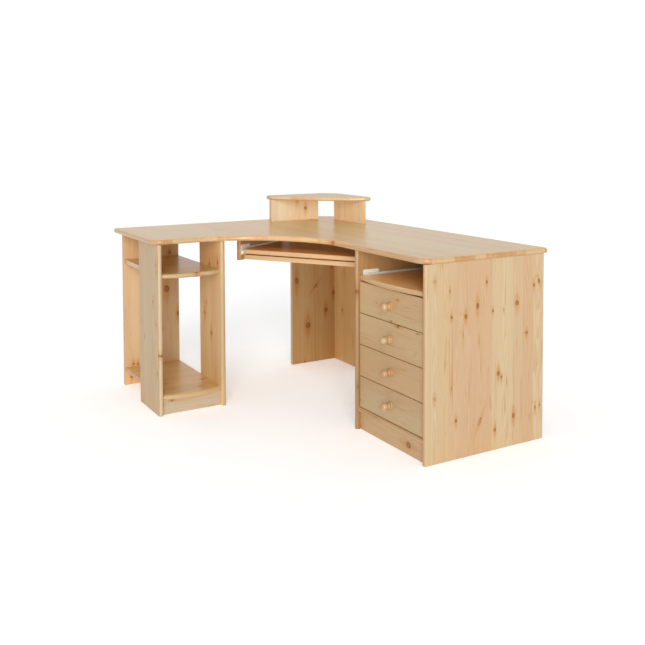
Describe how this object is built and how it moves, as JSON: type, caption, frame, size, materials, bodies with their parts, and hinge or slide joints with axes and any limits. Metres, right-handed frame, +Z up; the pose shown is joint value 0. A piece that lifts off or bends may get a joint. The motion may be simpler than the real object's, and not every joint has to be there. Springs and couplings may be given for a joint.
{
  "type": "corner desk",
  "caption": "L-shaped pine corner desk with a concave front, drawer pedestal, pull-out shelf, computer stand, angled keyboard tray and monitor riser.",
  "frame": {"origin": "bottom centre of the bounding box, on the floor", "axes": "+X along the long wing towards the drawer end, +Y towards the wall behind the long wing, +Z up"},
  "size_m": [1.6, 1.25, 0.892],
  "materials": {
    "pine": null,
    "turned_pine": "clear satin lacquer on turned pine",
    "plywood": "unlacquered thin plywood",
    "dowel_beech": "plain beech dowel",
    "white_steel": "white powder-coated steel",
    "nylon": "off-white nylon",
    "zinc_screw": "bright zinc-plated steel"
  },
  "bodies": {
    "desk_frame": {"desktop": "pine", "riser_top": "pine", "riser_left_panel": "pine", "riser_right_panel": "pine", "corner_left_panel": "pine", "corner_right_panel": "pine", "stand_left_side": "pine", "stand_right_side": "pine", "stand_back_panel": "pine", "stand_upper_shelf": "pine", "stand_bottom_shelf": "pine", "stand_plinth": "pine", "pedestal_end_panel": "pine", "pedestal_inner_panel": "pine", "pedestal_back_panel": "pine", "pedestal_floor": "pine", "pedestal_plinth": "pine", "tray_left_bracket": "pine", "tray_right_bracket": "pine", "tray_rail": "pine", "tray_channels": "white_steel", "pullout_channels": "white_steel", "drawer_channels": "white_steel", "channel_rollers": "nylon", "channel_screws": "zinc_screw", "corner_screws": "zinc_screw", "desktop_dowels": "dowel_beech", "riser_dowels": "dowel_beech", "case_dowels": "dowel_beech"},
    "keyboard_tray": {"keyboard_tray": "pine", "tray_runners": "white_steel", "tray_rollers": "nylon"},
    "pullout_shelf": {"pullout_shelf": "pine", "pullout_runners": "white_steel", "pullout_rollers": "nylon"},
    "drawer_1": {"drawer_1_front": "pine", "drawer_1_sides": "pine", "drawer_1_back": "pine", "drawer_1_bottom": "plywood", "drawer_1_knob": "turned_pine", "drawer_1_runners": "white_steel"},
    "drawer_2": {"drawer_2_front": "pine", "drawer_2_sides": "pine", "drawer_2_back": "pine", "drawer_2_bottom": "plywood", "drawer_2_knob": "turned_pine", "drawer_2_runners": "white_steel"},
    "drawer_3": {"drawer_3_front": "pine", "drawer_3_sides": "pine", "drawer_3_back": "pine", "drawer_3_bottom": "plywood", "drawer_3_knob": "turned_pine", "drawer_3_runners": "white_steel"},
    "drawer_4": {"drawer_4_front": "pine", "drawer_4_sides": "pine", "drawer_4_back": "pine", "drawer_4_bottom": "plywood", "drawer_4_knob": "turned_pine", "drawer_4_runners": "white_steel"}
  },
  "joints": [
    {"name": "keyboard_tray_slide", "type": "slide", "parent": "desk_frame", "child": "keyboard_tray", "axis": [0.5446, -0.8387, 0], "range_m": [0, 0.25]},
    {"name": "pullout_shelf_slide", "type": "slide", "parent": "desk_frame", "child": "pullout_shelf", "axis": [0, -1, 0], "range_m": [0, 0.35]},
    {"name": "drawer_1_slide", "type": "slide", "parent": "desk_frame", "child": "drawer_1", "axis": [0, -1, 0], "range_m": [0, 0.36]},
    {"name": "drawer_2_slide", "type": "slide", "parent": "desk_frame", "child": "drawer_2", "axis": [0, -1, 0], "range_m": [0, 0.36]},
    {"name": "drawer_3_slide", "type": "slide", "parent": "desk_frame", "child": "drawer_3", "axis": [0, -1, 0], "range_m": [0, 0.36]},
    {"name": "drawer_4_slide", "type": "slide", "parent": "desk_frame", "child": "drawer_4", "axis": [0, -1, 0], "range_m": [0, 0.36]}
  ]
}
